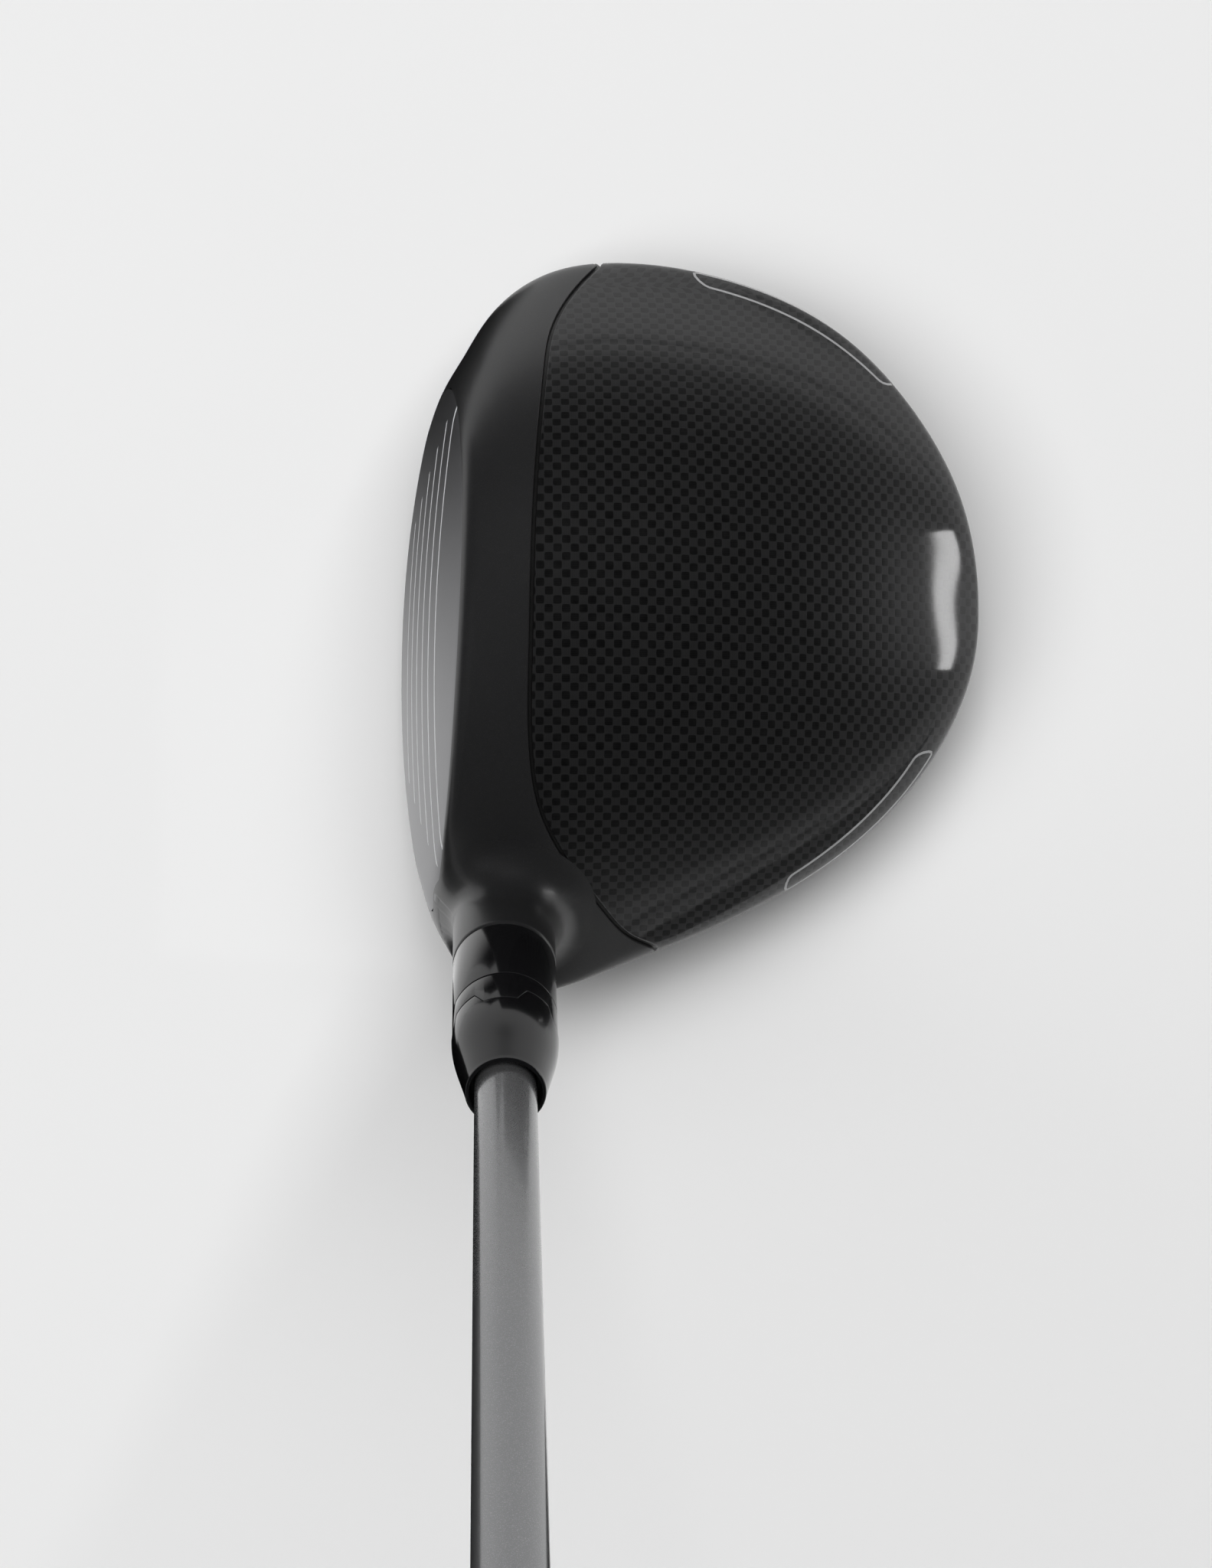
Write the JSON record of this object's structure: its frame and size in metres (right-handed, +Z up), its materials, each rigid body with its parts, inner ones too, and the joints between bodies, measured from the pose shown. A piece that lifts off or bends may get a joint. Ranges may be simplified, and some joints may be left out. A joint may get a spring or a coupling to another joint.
{
  "type": "golf driver",
  "caption": "Golf driver with a compact hollow head, woven crown panel, adjustable hosel adapter, sole weights, tapered shaft and rubber grip.",
  "frame": {"origin": "middle of the flat rest pad under the sole, on the ground, with the club at address", "axes": "+Z up, -X towards the target so the face looks along -X, +Y from heel to toe, away from the golfer; the shaft runs towards -Y and +Z"},
  "size_m": [0.091, 0.6872, 0.9536],
  "materials": {
    "satin_paint": "satin dark grey paint on cast titanium",
    "face_metal": "dark physical-vapour coating, fine brushed titanium, with thin light score lines",
    "woven_carbon": "plain-weave carbon under clear gloss",
    "black_epoxy": "cured black epoxy",
    "hot_melt": "tacky amber hot melt",
    "weight_metal": "turned steel",
    "screw_steel": "zinc-plated steel",
    "clip_plastic": "natural nylon",
    "adapter_gloss": "gloss black",
    "sleeve_aluminium": "machined aluminium",
    "shaft_paint": "silver-grey metallic paint on carbon tube",
    "tape": "double-sided paper tape",
    "grip_rubber": "matt black moulded rubber"
  },
  "bodies": {
    "club": {"shaft": "shaft_paint", "shaft_sleeve": "sleeve_aluminium", "tip_epoxy": "black_epoxy", "tip_plug": "clip_plastic", "ferrule": "adapter_gloss", "grip_tape": "tape", "grip": "grip_rubber", "grip_cap": "grip_rubber"},
    "head": {"head_body": "satin_paint", "face_insert": "face_metal", "crown_panel": "woven_carbon", "crown_bond_line": "black_epoxy", "hot_melt_pad": "hot_melt"},
    "lower_ring": {"lower_cog": "adapter_gloss"},
    "upper_ring": {"upper_cog": "adapter_gloss"},
    "bolt": {"hosel_bolt": "screw_steel", "bolt_washer": "screw_steel", "bolt_clip": "clip_plastic"},
    "front_weight": {"front_weight": "weight_metal"},
    "front_screw": {"front_weight_screw": "screw_steel"},
    "rear_weight": {"rear_weight": "weight_metal"},
    "rear_screw": {"rear_weight_screw": "screw_steel"}
  },
  "joints": [
    {"name": "head_release", "type": "slide", "parent": "club", "child": "head", "axis": [0, 0.5299, -0.848], "range_m": [0, 0.009]},
    {"name": "lower_ring_slide", "type": "slide", "parent": "club", "child": "lower_ring", "axis": [0, 0.5299, -0.848], "range_m": [0, 0.006]},
    {"name": "upper_ring_slide", "type": "slide", "parent": "club", "child": "upper_ring", "axis": [0, 0.5299, -0.848], "range_m": [0, 0.003]},
    {"name": "bolt_turn", "type": "hinge", "parent": "head", "child": "bolt", "pos_m": [-0.02, -0.0321, 0.00808], "axis": [0, 0.5299, -0.848], "range_deg": [0, 4051]},
    {"name": "front_weight_slide", "type": "slide", "parent": "head", "child": "front_weight", "axis": [-0.1124, 0.0692, -0.9912], "range_m": [0, 0.0065]},
    {"name": "front_screw_turn", "type": "hinge", "parent": "front_weight", "child": "front_screw", "pos_m": [-0.01891, 0.00696, 0.00095], "axis": [-0.1124, 0.0692, -0.9912], "range_deg": [0, 2926]},
    {"name": "rear_weight_slide", "type": "slide", "parent": "head", "child": "rear_weight", "axis": [0.3264, -0.0187, -0.945], "range_m": [0, 0.0065]},
    {"name": "rear_screw_turn", "type": "hinge", "parent": "rear_weight", "child": "rear_screw", "pos_m": [0.0366, 0, 0.00509], "axis": [0.3264, -0.0187, -0.945], "range_deg": [0, 2926]}
  ],
  "couplings": [
    {"joint": "lower_ring_slide", "follows": "head_release", "ratio": 0.66667},
    {"joint": "upper_ring_slide", "follows": "head_release", "ratio": 0.33333},
    {"joint": "bolt_turn", "follows": "head_release", "rad_per_m": 7854},
    {"joint": "front_screw_turn", "follows": "front_weight_slide", "rad_per_m": 7854},
    {"joint": "rear_screw_turn", "follows": "rear_weight_slide", "rad_per_m": 7854}
  ]
}
